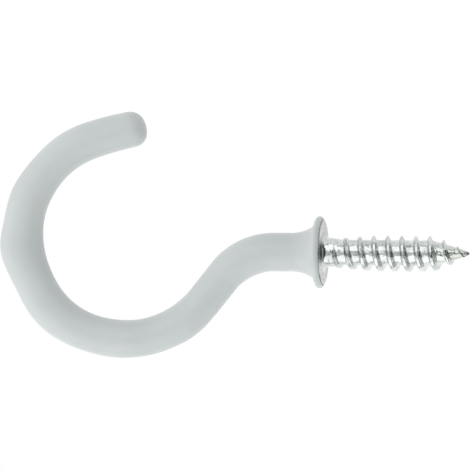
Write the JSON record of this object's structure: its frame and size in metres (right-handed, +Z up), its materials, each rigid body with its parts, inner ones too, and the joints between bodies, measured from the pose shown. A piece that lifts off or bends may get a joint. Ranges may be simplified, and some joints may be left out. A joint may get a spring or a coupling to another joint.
{
  "type": "screw hook",
  "caption": "Plastic-coated cup hook with a round open bow, a shouldered collar and a wood-screw thread, for hanging light things from a wall or shelf.",
  "frame": {"origin": "centre of the collar's back face, where it seats on the wall", "axes": "+X along the screw to its point, +Z up, the hook in the XZ plane with its bow towards -X and its mouth up"},
  "size_m": [0.0468, 0.0072, 0.0243],
  "materials": {
    "zinc_plated_steel": "bright zinc plating, rolled thread with fine burrs and seams on its crests",
    "soft_plastic_skin": "dip-moulded satin vinyl, pale grey-white, with soft lumps where it pooled"
  },
  "bodies": {
    "root": {"steel_hook": "zinc_plated_steel", "plastic_coating": "soft_plastic_skin"}
  },
  "joints": []
}
